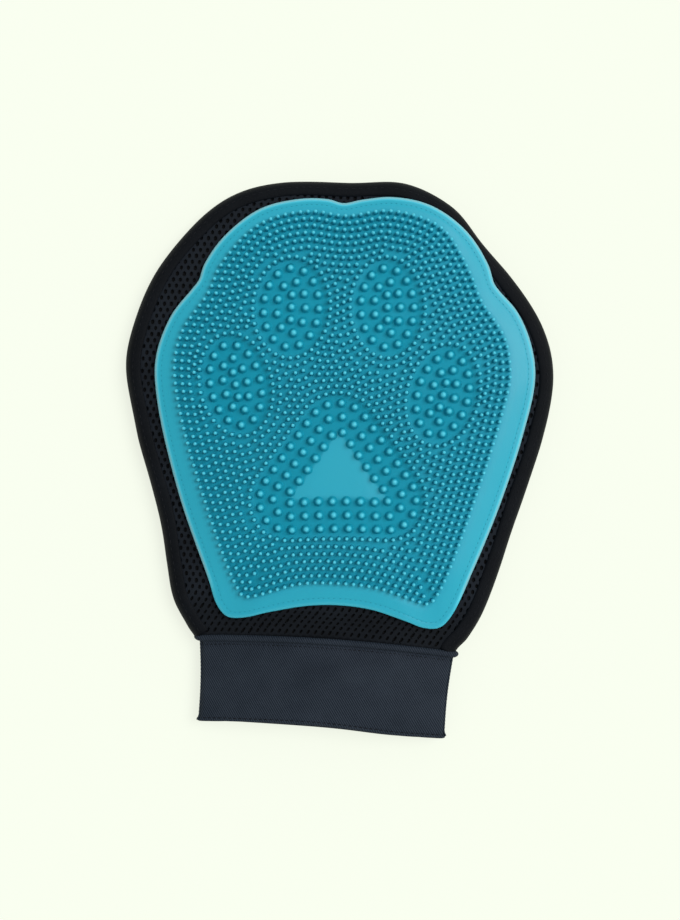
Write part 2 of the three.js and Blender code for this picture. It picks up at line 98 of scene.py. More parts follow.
# Pad outline, anticlockwise from the middle of its bottom arch, with four lobes at the top
PAD_OUTLINE = [
    (0, -58.6), (15, -60.4), (28, -65), (36, -68.2), (42.5, -67.8), (47.5, -62.5), (56.3, -42.5),
    (66, -17.5), (75, 11.7), (80, 37), (78, 51.5), (72, 64.8), (64.2, 73.4), (62, 76.4), (59.5, 84.2),
    (50.3, 98), (35, 108.4), (19, 111.4), (6, 109.9), (-1.6, 108.2), (-8, 109.8), (-20, 109.6),
    (-36.3, 105), (-51.2, 92.7), (-58.8, 81), (-60.8, 74.4), (-63.6, 70.6), (-72.1, 59.4), (-78, 42),
    (-77, 24), (-67, -14.8), (-54, -49), (-50, -60.5), (-45.5, -65.6), (-38.5, -65.8), (-28, -62.6),
    (-14, -59.4),
]
# Outline of the nub field, the same way round; the smooth rim outside it is widest at the right
FIELD_OUTLINE = [
    (0, -49.5), (16, -51), (30, -55.5), (37.5, -57.5), (41.5, -53), (57.5, -7.7), (66, 22), (69, 38),
    (66.4, 53), (56, 69), (51.5, 80), (41, 97), (31, 102.5), (16, 105), (0, 102.4), (-15, 104),
    (-30, 101), (-40, 95), (-52, 80), (-56.5, 69), (-67, 52.7), (-69.8, 39), (-67.6, 22), (-59, -8),
    (-42.5, -51), (-39, -56), (-35, -56), (-16, -50.2),
]
PAD_GAP = 0.5
PAD_BASE = 2.3
STITCH_INSET = 3.0
FLOOR_DROP = 0.25  # the nub field's floor lies this far below the rim
WELL_DROP = 0.55  # and the wells' floor this far below that
FLOOR_SHADE_SHARE = 0.12  # painted shade: the field's floor between the nubs is this much of the way from the wells' tone to the rim's
RIM_TONE, TIP_HIGHLIGHT_TONE, EDGE_HIGHLIGHT_TONE = 0.35, 0.7, 1.0  # of the rim, the painted highlight on the nub tips and the painted highlight on the thin edge; 0, painted shade, in the wells

TOE_WELLS = [  # x, y, half width, half length, tilt in degrees
    (-21.7, 63.3, 15, 20, -2),
    (17.5, 64.2, 14.5, 20, 2),
    (-43.6, 31.2, 14, 20.5, 14),
    (41, 29, 14, 20.5, -14),
]
TOE_ROWS = (3.7, 9.2)  # rings of big nubs, by their depth in the oval
PLAIN_TRIANGLE = [(-1.3, 11.4), (-19.5, -15.6), (17.8, -14.7)]
PALM_ROWS = (2.2, 7.75, 13.3)  # rings of big nubs, by their distance from the triangle
PALM_WELL_REACH = 16.6
PALM_ARCH, PALM_ARCH_HALF_WIDTH = 1.8, 30  # how the rings' bases arch up

SMALL_PITCH = 3.15  # along a row
SMALL_ROW = 2.95  # between rows
SMALL_FIRST = 0.9  # from a well's edge to the ring of small nubs that hugs it
BIG_PITCH = 5.7
# Nub sections as radius and height, and the height of the tip
SMALL_NUB = [(1.2, -0.25), (0.93, 0.25), (0.82, 1.4), (0.79, 2.5), (0.66, 2.9), (0.37, 3.13)]
SMALL_TIP = 3.2
BIG_NUB = [(2.5, -0.2), (2.0, 0.12), (1.68, 0.6), (1.46, 1.5), (1.27, 2.3), (0.98, 2.85), (0.52, 3.15)]
BIG_TIP = 3.24
NUB_UPRIGHT = 0.65  # the nubs lean out with the dome by only the rest of its slope

CUFF_MIDDLE_X = -0.9
CUFF_HALF_WIDTH = 51.7  # to the side of the crown; the sides bulge past it
CUFF_BULGE = 1.75
CUFF_TOP = WRIST_Y - 3.2
CUFF_BOTTOM = WRIST_Y - 36.5
CUFF_TAPER, CUFF_HOLLOW, CUFF_FLARE = 0.035, 0.014, 0.016  # shares of the wrist's width
CUFF_WALL = 2.6  # two skins of knit and the elastic between them
CUFF_SKIN = 0.65
CUFF_CREST_Z = 14.5
CUFF_SIDE_Z = 8.2
CUFF_FLOOR_Z = 0.9
CUFF_FLOOR_RISE = 1.7
HEM_SAG, HEM_SAG_X, HEM_SAG_REACH = 1.5, 31, 20  # the hem hangs lower by this much round this x
RIDGE_RADIUS = 1.35
EAR_LEFT, EAR_RIGHT = 0.8, 0.5  # how much the ridge swells at its two ends


# ---- plane curves


def lean(points):
    """Turns points drawn upright by the hand's lean."""
    points = np.atleast_2d(np.asarray(points, float))
    c, s = math.cos(HAND_LEAN), math.sin(HAND_LEAN)
    return np.column_stack([points[:, 0] * c - points[:, 1] * s, points[:, 0] * s + points[:, 1] * c])


def unit(vectors):
    return vectors / np.linalg.norm(vectors, axis=1)[:, None]


def lengths_along(line):
    return np.concatenate([[0], np.cumsum(np.linalg.norm(np.diff(line, axis=0), axis=1))])


def resample(points, count, closed=True):
    """Points evenly spaced along a polyline."""
    points = np.asarray(points, float)
    line = np.vstack([points, points[:1]]) if closed else points
    along = lengths_along(line)
    at = np.linspace(0, along[-1], count + 1)[:-1] if closed else np.linspace(0, along[-1], count)
    return np.column_stack([np.interp(at, along, line[:, k]) for k in range(line.shape[1])])


def closed_curve(points, count):
    """Centripetal Catmull-Rom curve through a ring of points."""
    points = np.asarray(points, float)
    share = np.linspace(0, 1, 25)[:-1, None]
    runs = []
    for index in range(len(points)):
        p0, p1, p2, p3 = (points[(index + k) % len(points)] for k in (-1, 0, 1, 2))
        sides = (p1 - p0, p2 - p1, p3 - p2)
        k1, k2, k3 = np.cumsum([math.sqrt(np.linalg.norm(side)) for side in sides])
        t = k1 + share * (k2 - k1)
        a1 = p0 + (p1 - p0) * t / k1
        a2 = p1 + (p2 - p1) * (t - k1) / (k2 - k1)
        a3 = p2 + (p3 - p2) * (t - k2) / (k3 - k2)
        b1 = a1 + (a2 - a1) * t / k2
        b2 = a2 + (a3 - a2) * (t - k1) / (k3 - k1)
        runs.append(b1 + (b2 - b1) * (t - k1) / (k2 - k1))
    return resample(np.vstack(runs), count)


def normals(loop):
    """Unit normals of a ring: inward if it runs anticlockwise, outward if clockwise."""
    along = unit(np.roll(loop, -1, axis=0) - np.roll(loop, 1, axis=0))
    return np.column_stack([-along[:, 1], along[:, 0]])


def inset(loop, distance):
    return loop + normals(loop) * distance


def nearest_on(points, loop):
    """The nearest place on a closed ring to each point, and how far off it is."""
    distance = np.full(len(points), np.inf)
    place = points.copy()
    for a, b in zip(loop, np.roll(loop, -1, axis=0)):
        side = b - a
        step = np.clip(((points - a) @ side) / max(side @ side, 1e-12), 0, 1)[:, None] * side
        away = np.linalg.norm(points - a - step, axis=1)
        closer = away < distance
        distance[closer] = away[closer]
        place[closer] = a + step[closer]
    return place, distance


def inside(points, loop):
    """Which points lie within a ring, by counting the sides that a ray from each one crosses."""
    result = np.zeros(len(points), bool)
    for (x1, y1), (x2, y2) in zip(loop, np.roll(loop, -1, axis=0)):
        crosses = (y1 > points[:, 1]) != (y2 > points[:, 1])
        slope = (x2 - x1) / (y2 - y1) if y2 != y1 else 0.0
        result ^= crosses & (points[:, 0] < x1 + slope * (points[:, 1] - y1))
    return result


def signed_depth(points, loop):
    """How deep inside a ring each point lies; negative outside."""
    return np.where(inside(points, loop), 1, -1) * nearest_on(points, loop)[1]


def smooth(low, high, value):
    """A soft step from 0 at low to 1 at high."""
    t = np.clip((value - low) / (high - low), 0, 1)
    return t * t * (3 - 2 * t)


# ---- the hand's outlines and heights

HAND_LOOP = closed_curve(lean(HAND_OUTLINE + CUFF_RUN), 600)
DOME_LOOP = inset(HAND_LOOP, BINDING_WIDTH + GAP) - HAND_CENTRE
DOME_ANGLES = np.arctan2(DOME_LOOP[:, 1], DOME_LOOP[:, 0])
DOME_REACH = np.linalg.norm(DOME_LOOP, axis=1)

# From the hand's own coordinates to the frame's, in mm
binding_low, binding_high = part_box("edge_binding")
hand_rows = HAND_LOOP[HAND_LOOP[:, 1] > WRIST_Y]
SHIFT = np.array([
    (binding_low[0] + binding_high[0]) / 2 / MM - (hand_rows[:, 0].min() + hand_rows[:, 0].max()) / 2,
    binding_high[1] / MM - hand_rows[:, 1].max(),
    0.0,
])


def dome_fraction(xy):
    """0 at the hand's centre and 1 at the inner edge of the binding."""
    ray = xy - HAND_CENTRE
    reach = np.interp(np.arctan2(ray[:, 1], ray[:, 0]), DOME_ANGLES, DOME_REACH, period=TAU)
    return np.linalg.norm(ray, axis=1) / reach


def palm_face(xy):
    """Height of the palm mesh's outer face."""
    crown = PALM_WRIST_Z + (PALM_CROWN_Z - PALM_WRIST_Z) * smooth(WRIST_Y, PALM_FULL_Y, xy[:, 1])
    return PALM_EDGE_Z + (crown - PALM_EDGE_Z) * (1 - np.minimum(dome_fraction(xy), 1.15) ** 3)


def back_face(xy):
    """Height of the back mesh's outer face, which curls up to the binding."""
    curl = np.clip((dome_fraction(xy) - BACK_FLAT) / (1 - BACK_FLAT), 0, 1.3)
    return BACK_EDGE_Z * curl**2


def cut_hand_edge(inset_by, lowest_y, count):
    """The hand's edge, inset, from its right end at the wrist round the fingers to its left end."""
    loop = inset(HAND_LOOP, inset_by)
    above = loop[:, 1] > lowest_y
    start = int(np.flatnonzero(above & ~np.roll(above, 1))[0])
    run = np.roll(loop, 1 - start, axis=0)[: int(above.sum()) + 2]
    for end, next_in in ((0, 1), (-1, -2)):
        side = run[next_in] - run[end]
        run[end] += side * (lowest_y - run[end, 1]) / side[1]
    return resample(run, count, closed=False)


# ---- mesh building


def bow_wrist(points):
    """Bows the palm side of the wrist toward the fingers, in every piece alike."""
    width = np.maximum(0, 1 - ((points[:, 0] - CUFF_MIDDLE_X) / WRIST_BOW_HALF_WIDTH) ** 2)
    height = smooth(*WRIST_BOW_FADE_Z, points[:, 2])
    length = 1 - smooth(*WRIST_BOW_FADE_Y, points[:, 1])
    return points + np.column_stack([0 * width, WRIST_BOW * width * height * length, 0 * width])


def build(name, points, faces, painted_shading=None):
    """A mesh object from points in mm and a list of face index arrays, each of one face size.

    painted_shading, if given, is a tone for each point that carries painted light and shade, kept for the
    material.
    """
    mesh = bpy.data.meshes.new(name)
    placed = (bow_wrist(np.asarray(points, float)) + SHIFT) * MM
    blocks = [np.asarray(block, np.int32) for block in faces if len(block)]
    sizes = np.concatenate([np.full(len(block), block.shape[1]) for block in blocks])
    loops = np.concatenate([block.ravel() for block in blocks])
    mesh.vertices.add(len(placed))
    mesh.vertices.foreach_set("co", placed.astype(np.float32).ravel())
    mesh.loops.add(len(loops))
    mesh.loops.foreach_set("vertex_index", loops)
    mesh.polygons.add(len(sizes))
    starts = np.concatenate([[0], np.cumsum(sizes)[:-1]])
    mesh.polygons.foreach_set("loop_start", starts.astype(np.int32))
    mesh.polygons.foreach_set("use_smooth", np.full(len(sizes), True))
    if painted_shading is not None:
        tone = mesh.attributes.new("painted_shading", "FLOAT", "POINT")
        tone.data.foreach_set("value", np.asarray(painted_shading, np.float32))
    mesh.update(calc_edges=True)
    mesh.validate()
    piece = bpy.data.objects.new(name, mesh)
    bpy.context.scene.collection.objects.link(piece)
    return piece


def grid_faces(rows, columns, wrap_rows=False):
    """Quads round a stack of rings, whose point (row, column) has index row * columns + column."""
    row = np.arange(rows if wrap_rows else rows - 1)
    r, c = (a.ravel() for a in np.meshgrid(row, np.arange(columns), indexing="ij"))
    r2, c2 = (r + 1) % rows, (c + 1) % columns
    return np.column_stack([r * columns + c, r * columns + c2, r2 * columns + c2, r2 * columns + c])


def cap_faces(rows, columns):
    """Triangles that close both ends of a grid, round two middle points that come after its own."""
    step = np.arange(columns)
    after = (step + 1) % columns
    first, tail = rows * columns, (rows - 1) * columns
    return np.vstack([
        np.column_stack([np.full(columns, first), after, step]),
        np.column_stack([np.full(columns, first + 1), tail + step, tail + after]),
    ])


def ring_stack(name, rings, hub_first, hub_last, tone=None):
    """A closed solid from a stack of rings, with a middle point at each end."""
    points = np.vstack([*rings, hub_first, hub_last])
    size = len(rings), len(rings[0])
    painted_shading = None if tone is None else tone(points[:, :2])
    return build(name, points, [grid_faces(*size), cap_faces(*size)], painted_shading)


def sweep(name, sections, origins, across, up):
    """A solid through a row of frames, each with its own closed section."""
    rings = origins[:, None] + sections[..., :1] * across[:, None] + sections[..., 1:] * up[:, None]
    return ring_stack(name, rings, rings[0].mean(axis=0), rings[-1].mean(axis=0))


def outward(piece):
    """Turns the faces of a closed mesh out."""
    work = bmesh.new()
    work.from_mesh(piece.data)
    if work.calc_volume(signed=True) < 0:
        bmesh.ops.reverse_faces(work, faces=work.faces)
    work.to_mesh(piece.data)
    work.free()
    return piece


def copies(faces, count, points_each):
    """The same faces for each of several like parts, whose points follow one another."""
    starts = (np.arange(count) * points_each)[:, None, None]
    return (faces + starts).reshape(-1, faces.shape[1])


def with_z(xy, z):
    return np.column_stack([xy, np.broadcast_to(z, len(xy))])


# ---- materials


def material(name, base, roughness, **sockets):
    """A Principled material; sockets are its other constant inputs, with _ for a space."""
    mat = bpy.data.materials.new(name)
    mat.use_nodes = True
    shader = mat.node_tree.nodes["Principled BSDF"]
    shader.inputs["Base Color"].default_value = (*base, 1)
    shader.inputs["Roughness"].default_value = roughness
    for key, value in sockets.items():
        shader.inputs[key.replace("_", " ")].default_value = value
    return mat, mat.node_tree, shader


def add_node(tree, kind, **settings):
    """A new node; each setting is an input's constant value, or else a property."""
    node = tree.nodes.new(kind)
    for key, value in settings.items():
        if key in node.inputs:
            node.inputs[key].default_value = value
        else:
            setattr(node, key, value)
    return node


def noise(tree, scale, detail, roughness=0.5):
    """Noise over the object's own coordinates."""
    place = add_node(tree, "ShaderNodeTexCoord")
    texture = add_node(tree, "ShaderNodeTexNoise", Scale=scale, Detail=detail, Roughness=roughness)
    tree.links.new(place.outputs["Object"], texture.inputs["Vector"])
    return texture.outputs["Fac"]


def colour_between(tree, factor, stops):
    """A colour ramp over factor, with stops of (position, colour)."""
    ramp = add_node(tree, "ShaderNodeValToRGB")
    elements = ramp.color_ramp.elements
    while len(elements) < len(stops):
        elements.new(0.5)
    for element, (position, colour) in zip(elements, stops):
        element.position = position
        element.color = (*colour, 1)
    tree.links.new(factor, ramp.inputs["Fac"])
    return ramp.outputs["Color"]


def bump(tree, shader, heights):
    """Stacks bumps, each (height socket, strength, distance in metres)."""
    below = None
    for height, strength, distance in heights:
        node = add_node(tree, "ShaderNodeBump", Strength=strength, Distance=distance)
        tree.links.new(height, node.inputs["Height"])
        if below is not None:
            tree.links.new(below, node.inputs["Normal"])
        below = node.outputs["Normal"]
    tree.links.new(below, shader.inputs["Normal"])


def wave(tree, scale, turn):
    """Straight bands over the object's own coordinates, turned about Z."""
    place = add_node(tree, "ShaderNodeTexCoord")
    mapping = add_node(tree, "ShaderNodeMapping", Rotation=(0, 0, turn))
    texture = add_node(tree, "ShaderNodeTexWave", Scale=scale)
    tree.links.new(place.outputs["Object"], mapping.inputs["Vector"])
    tree.links.new(mapping.outputs["Vector"], texture.inputs["Vector"])
    return texture.outputs["Fac"]


def multiply(tree, a, b):
    """The product of two numbers."""
    node = add_node(tree, "ShaderNodeMath", operation="MULTIPLY")
    tree.links.new(a, node.inputs[0])
    tree.links.new(b, node.inputs[1])
    return node.outputs[0]


def tint(tree, shader, tone, patches):
    """Makes the product of two colours the shader's base colour."""
    mixed = add_node(tree, "ShaderNodeMix", data_type="RGBA", blend_type="MULTIPLY")
    mixed.inputs[0].default_value = 1.0
    tree.links.new(tone, mixed.inputs[6])
    tree.links.new(patches, mixed.inputs[7])
    tree.links.new(mixed.outputs[2], shader.inputs["Base Color"])


def grey(value):
    return (value,) * 3


def silicone_material():
    """Satin silicone: matt, with painted shade deep between the nubs and in the wells; glossier, with a
    painted highlight, on the nubs' tips and the edge.
    """
    mat, tree, shader = material(
        "silicone", (0.012, 0.4, 0.52), 0.4, Subsurface_Weight=0.08, Subsurface_Scale=0.0015,
        Subsurface_Radius=(0.3, 0.8, 1.0), IOR=1.4, Specular_IOR_Level=0.37,
    )
    painted_shading = add_node(tree, "ShaderNodeAttribute", attribute_name="painted_shading").outputs["Fac"]
    # painted shade at 0, between the nubs and in the wells; the rim's own tone; painted highlights on the
    # nub tips and the thin edge
    tone = colour_between(tree, painted_shading, [
        (0.0, (0.0, 0.295, 0.42)), (RIM_TONE, (0.022, 0.4, 0.545)), (TIP_HIGHLIGHT_TONE, (0.08, 0.58, 0.74)),
        (EDGE_HIGHLIGHT_TONE, (0.2, 0.49, 0.57)),
    ])
    patches = colour_between(tree, noise(tree, 22, 4), [(0.25, (0.93, 0.94, 0.95)), (0.85, grey(1.0))])
    tint(tree, shader, tone, patches)
    matt = colour_between(tree, painted_shading, [
        (0.0, grey(0.8)), (RIM_TONE, grey(0.42)), (TIP_HIGHLIGHT_TONE, grey(0.3)), (EDGE_HIGHLIGHT_TONE, grey(0.16)),
    ])
    smudge = colour_between(tree, noise(tree, 130, 4), [(0.2, grey(0.85)), (0.8, grey(1.0))])
    tree.links.new(multiply(tree, matt, smudge), shader.inputs["Roughness"])
    bump(tree, shader, [(noise(tree, 900, 2), 0.05, 0.0001), (noise(tree, 2600, 2), 0.08, 0.00004)])
    return mat


def air_mesh_material():
    """Spacer mesh: matt struts over the cloth at the bottom of its holes, which is painted darker with
    depth, painted shade.
    """
    mat, tree, shader = material("air_mesh", (0.02, 0.018, 0.02), 0.8, Specular_IOR_Level=0.15)
    painted_shading = add_node(tree, "ShaderNodeAttribute", attribute_name="painted_shading").outputs["Fac"]
    # painted shade: darkest at a hole's bottom, lightest on the struts
    tone = colour_between(tree, painted_shading, [
        (0.0, (0.0008, 0.001, 0.0018)), (0.6, (0.004, 0.0058, 0.0088)), (1.0, (0.0105, 0.0145, 0.0215)),
    ])
    patches = colour_between(tree, noise(tree, 70, 4), [(0.3, (0.6, 0.6, 0.62)), (0.75, grey(1.0))])
    tint(tree, shader, tone, patches)
    bump(tree, shader, [(noise(tree, 1500, 3), 0.35, 0.0001), (wave(tree, 700, 0.5), 0.5, 0.0001)])
    return mat


def cloth_material(name, dark, light, roughness, threads, depth, sheen=0.06, angle=0.0, twill=0.3):
    """Knitted or woven cloth: two crossing sets of threads, fibre noise and patchy tone."""
    mat, tree, shader = material(
        name, dark, roughness, Sheen_Weight=sheen, Sheen_Roughness=0.5, Sheen_Tint=(*light, 1),
        Specular_IOR_Level=0.1,
    )
    across = wave(tree, threads, angle)
    weave = multiply(tree, across, wave(tree, threads, angle + math.pi / 2))
    mixed = add_node(tree, "ShaderNodeMix")
    mixed.inputs["Factor"].default_value = twill
    tree.links.new(noise(tree, 60, 5, 0.6), mixed.inputs["A"])
    tree.links.new(across, mixed.inputs["B"])
    tone = colour_between(tree, mixed.outputs["Result"], [(0.3, dark), (0.75, light)])
    tree.links.new(tone, shader.inputs["Base Color"])
    bump(tree, shader, [(noise(tree, 1500, 3), 0.35, 0.0001), (weave, 0.6, depth)])
    return mat


# ---- silicone pad


PAD_LOOP = closed_curve(lean(PAD_OUTLINE), 360)
FIELD_LOOP = closed_curve(lean(FIELD_OUTLINE), 360)


def toe_loop(well, depth, count=72):
    """An oval this deep inside a toe well's edge; a negative depth is outside it."""
    x, y, half_width, half_length, tilt = well
    t = np.linspace(0, TAU, 400, endpoint=False)
    oval = np.column_stack([(half_width - depth) * np.cos(t), (half_length - depth) * np.sin(t)])
    c, s = math.cos(math.radians(tilt)), math.sin(math.radians(tilt))
    return resample(lean(oval @ np.array([[c, s], [-s, c]]) + (x, y)), count)


def palm_loop(distance, count=120):
    """A ring round the plain triangle with round corners, anticlockwise, arched along its base."""
    corners = [np.array(corner, float) for corner in PLAIN_TRIANGLE]
    points = []
    for index, corner in enumerate(corners):
        before, after = corners[index - 1], corners[(index + 1) % 3]
        start = math.atan2(*(corner - before)[::-1]) - math.pi / 2
        turn = (math.atan2(*(after - corner)[::-1]) - math.pi / 2 - start) % TAU
        for angle in start + np.linspace(0, turn, 16):
            points.append(corner + distance * np.array([math.cos(angle), math.sin(angle)]))
    ring = resample(points, 300)
    share = np.maximum(0, 1 - (ring[:, 0] / PALM_ARCH_HALF_WIDTH) ** 2) * (1 - smooth(-14, -6, ring[:, 1]))
    return resample(lean(ring + np.column_stack([0 * share, PALM_ARCH * share])), count)


WELL_LOOPS = [toe_loop(well, 0) for well in TOE_WELLS] + [palm_loop(PALM_WELL_REACH)]


def well_depth(xy):
    """How deep inside the nearest well each point lies; negative outside them all."""
    return np.max([signed_depth(xy, loop) for loop in WELL_LOOPS], axis=0)


def pad_top(xy):
    """Height of the pad's face without its nubs."""
    drop = FLOOR_DROP * smooth(-2.6, -0.6, signed_depth(xy, FIELD_LOOP))
    drop += WELL_DROP * smooth(-1.2, 2.2, well_depth(xy))
    return palm_face(xy) + PAD_GAP + PAD_BASE - drop


def pad_shaded_tone(xy):
    """Painted shade: from 0 on the wells' floor, and little more on the field's floor between the nubs, to
    the rim's tone, which the plain triangle has too.
    """
    field = smooth(-0.9, 0.7, signed_depth(xy, FIELD_LOOP))
    plain = smooth(-0.4, 1.0, signed_depth(xy, palm_loop(1.2)))
    well = smooth(-0.5, 1.5, well_depth(xy))
    return RIM_TONE * (1 - field * (1 - FLOOR_SHADE_SHARE * (1 - well)) * (1 - plain))


def pad_edge_highlight_tone(xy):
    """The same, with a painted highlight on the pad's thin moulded edge, paler and glossier there, least so
    along its bottom arch, which faces away from the light.
    """
    # painted highlight, faded along the bottom arch
    highlight_share = 0.25 + 0.75 * smooth(-60, -46, xy[:, 1])
    depth = signed_depth(xy, PAD_LOOP)
    edge = smooth(0.02, 0.15, depth) * np.exp(-((depth / 1.4) ** 4))
    return pad_shaded_tone(xy) + (EDGE_HIGHLIGHT_TONE - RIM_TONE) * highlight_share * edge


def pad_base():
    """The moulded sheet: crisp round edge, rim with a shallow stitch line, nub floor and wells."""
    rings = []
    for share in (0.1, 0.4, 0.7, 0.9, 0.985):
        xy = HAND_CENTRE + (inset(PAD_LOOP, 0.3) - HAND_CENTRE) * share
        rings.append(with_z(xy, palm_face(xy) + PAD_GAP))
    edge_profile = [
        (0.12, 0.05), (0, 0.3), (0, 1.2), (0.04, 1.5), (0.15, 1.75), (0.35, 1.95), (0.65, 2.1), (1.0, 2.22),
        (1.35, 2.31), (1.7, 2.35),
    ]
    for depth, height in edge_profile:
        xy = inset(PAD_LOOP, depth)
        rings.append(with_z(xy, palm_face(xy) + PAD_GAP + height))
    for depth in (2.1, 2.4, 2.6, 2.8, 3.0, 3.2, 3.4, 3.8, 4.4, 5.0):
        xy = inset(PAD_LOOP, depth)
        groove = 0.07 * np.exp(-(((depth - STITCH_INSET) / 0.25) ** 2))
        rings.append(with_z(xy, pad_top(xy) - groove))
    inner = inset(PAD_LOOP, 5.0)
    for share in np.linspace(0.985, 0.03, 54):
        xy = HAND_CENTRE + (inner - HAND_CENTRE) * share
        rings.append(with_z(xy, pad_top(xy)))
    hub = HAND_CENTRE[None]
    low = with_z(hub, palm_face(hub) + PAD_GAP)
    return ring_stack("pad_base", rings, low, with_z(hub, pad_top(hub)), pad_edge_highlight_tone)


def spots_along(loop, pitch, stagger=0.0):
    """Centres spaced evenly round a dense ring."""
    dense = resample(loop, 3000)
    length = np.linalg.norm(dense - np.roll(dense, 1, axis=0), axis=1).sum()
    count = max(3, int(round(length / pitch)))
    return resample(np.roll(dense, int(round(stagger * len(dense) / count)), axis=0), count)


def edge_row(row):
    """Nub centres along a row that follows the field's edge; rows are staggered in turn."""
    depth = 0.6 + row * SMALL_ROW
    line = inset(resample(FIELD_LOOP, 900), depth)
    line = line[signed_depth(line, FIELD_LOOP) > depth - 0.3]
    return spots_along(line, SMALL_PITCH, 0.5 * (row % 2))


def keep_apart(groups, spacing):
    """Joins groups of centres in order, leaving out any that crowd one already kept."""
    spots = np.vstack(groups)
    kept = np.full((len(spots) + 1, 2), 1e6)  # places not yet filled lie far away
    total = 0
    for spot in spots:
        if np.min(np.sum((kept[: total + 1] - spot) ** 2, axis=1)) > spacing**2:
            kept[total] = spot
            total += 1
    return kept[:total]


def spread(fixed, loose, rounds=24):
    """Evens out the loose centres by letting near neighbours push each other away."""
    for _ in range(rounds):
        everything = np.vstack([fixed, loose])
        gap = loose[:, None] - everything[None]
        far = np.sqrt((gap**2).sum(axis=2)) + 1e-9
        push = np.where(far < 1e-6, 0, np.maximum(0, 1 - far / (SMALL_PITCH * 1.08)))
        loose = loose + 0.45 * (gap / far[..., None] * push[..., None]).sum(axis=1)
    return loose


def small_spots():
    """Rows that follow the field's edge, a ring hugging each well, and an even fill between."""

    def hugging(grow, stagger):
        rings = [toe_loop(well, -grow, 400) for well in TOE_WELLS]
        rings.append(palm_loop(PALM_WELL_REACH + grow, 400))
        return np.vstack([spots_along(ring, SMALL_PITCH, stagger) for ring in rings])

    def clear_of_wells(spots, distance):
        return spots[well_depth(spots) < -distance]

    rows = [edge_row(row) for row in range(9)]
    outer, inner = np.vstack(rows[:3]), np.vstack(rows[3:])
    xs, ys = np.meshgrid(np.arange(-80, 80, 0.8), np.arange(-70, 112, 0.8))
    fill = np.column_stack([xs.ravel(), ys.ravel()])
    fill = clear_of_wells(fill[signed_depth(fill, FIELD_LOOP) > 8], 2.2)
    firm = clear_of_wells(keep_apart([outer, hugging(SMALL_FIRST, 0)], SMALL_PITCH * 0.78), 0.5)
    second = clear_of_wells(hugging(SMALL_FIRST + SMALL_ROW, 0.5), 2.2)
    spots = keep_apart([firm, clear_of_wells(inner, 2.2), second, fill], SMALL_PITCH * 0.86)
    loose = clear_of_wells(spread(firm, spots[len(firm):]), 1.6)
    spots = keep_apart([firm, loose], SMALL_PITCH * 0.74)
    spots = keep_apart([spots, fill], SMALL_PITCH * 0.78)
    return spots[signed_depth(spots, FIELD_LOOP) > 0.2]


def big_spots():
    """Two rings and a middle row in each toe well, and rings round the plain triangle."""
    spots = []
    for well in TOE_WELLS:
        spots += [spots_along(toe_loop(well, depth, 400), BIG_PITCH) for depth in TOE_ROWS]
        turn = math.radians(well[4])
        axis = np.array([-math.sin(turn), math.cos(turn)]) * BIG_PITCH * 0.9
        spots.append(lean([np.array(well[:2]) + step * axis for step in (-1, 0, 1)]))
    spots += [spots_along(palm_loop(distance, 400), BIG_PITCH) for distance in PALM_ROWS]
    return np.vstack(spots)


def nubs(name, spots, profile, tip, sides, sharpness):
    """Every nub of one size, each a closed peg; its tone pales from the painted shade at its foot to a
    painted highlight at the tip, by sharpness.
    """
    profile = np.array(profile)
    angle = np.linspace(0, TAU, sides, endpoint=False)
    levels = len(profile)
    local = np.zeros((levels * sides + 2, 3))
    local[:-2, 0] = (profile[:, :1] * np.cos(angle)).ravel()
    local[:-2, 1] = (profile[:, :1] * np.sin(angle)).ravel()
    local[:-2, 2] = np.repeat(profile[:, 1], sides)
    local[-2, 2], local[-1, 2] = profile[0, 1], tip
    nudge = 0.5
    slope_x = (palm_face(spots + (nudge, 0)) - palm_face(spots - (nudge, 0))) / (2 * nudge)
    slope_y = (palm_face(spots + (0, nudge)) - palm_face(spots - (0, nudge))) / (2 * nudge)
    tilt = 1 - NUB_UPRIGHT
    up = unit(np.column_stack([-slope_x * tilt, -slope_y * tilt, np.ones(len(spots))]))
    side = unit(np.cross((0.0, 1.0, 0.0), up))
    basis = np.stack([side, np.cross(up, side), up], axis=1)
    points = np.einsum("vk,nkc->nvc", local, basis) + with_z(spots, pad_top(spots))[:, None]
    parts = grid_faces(levels, sides), cap_faces(levels, sides)
    faces = [copies(part, len(spots), len(local)) for part in parts]
    # painted highlight toward the tip, over the painted shade of the floor at the foot
    rise = np.clip(local[:, 2] / tip, 0, 1) ** sharpness
    foot = pad_shaded_tone(spots)[:, None]
    painted_shading = foot + (TIP_HIGHLIGHT_TONE - foot) * rise
    return build(name, points.reshape(-1, 3), faces, painted_shading.ravel())


def join(name, parts):
    """Makes one object of several, under one name."""
    bpy.ops.object.select_all(action="DESELECT")
    for part in parts:
        part.select_set(True)
    bpy.context.view_layer.objects.active = parts[0]
    bpy.ops.object.join()
    whole = bpy.context.view_layer.objects.active
    whole.name = name
    whole.select_set(False)
    return whole


def make_pad():
    parts = [
        outward(pad_base()),
        nubs("small_nubs", small_spots(), SMALL_NUB, SMALL_TIP, 7, 2.2),
        nubs("big_nubs", big_spots(), BIG_NUB, BIG_TIP, 12, 2.6),
    ]
    return join("silicone_pad_moulding", parts)


# ---- hand panels

HEXAGON = np.radians(np.arange(6) * 60 + 30)
MESH_PITCH = 3.0
MESH_HOLE = 0.88  # radius at the top of a hole
MESH_HOLE_DEPTH = 0.7
MESH_HOLE_PROFILE = [(1.3, 0.0), (1.1, 0.05), (1.0, 0.25), (0.93, 0.62), (0.9, 1.0)]  # width, depth shares
MESH_ASPECT = (1.14, 0.86)  # a hole's length and width, as shares of its diameter
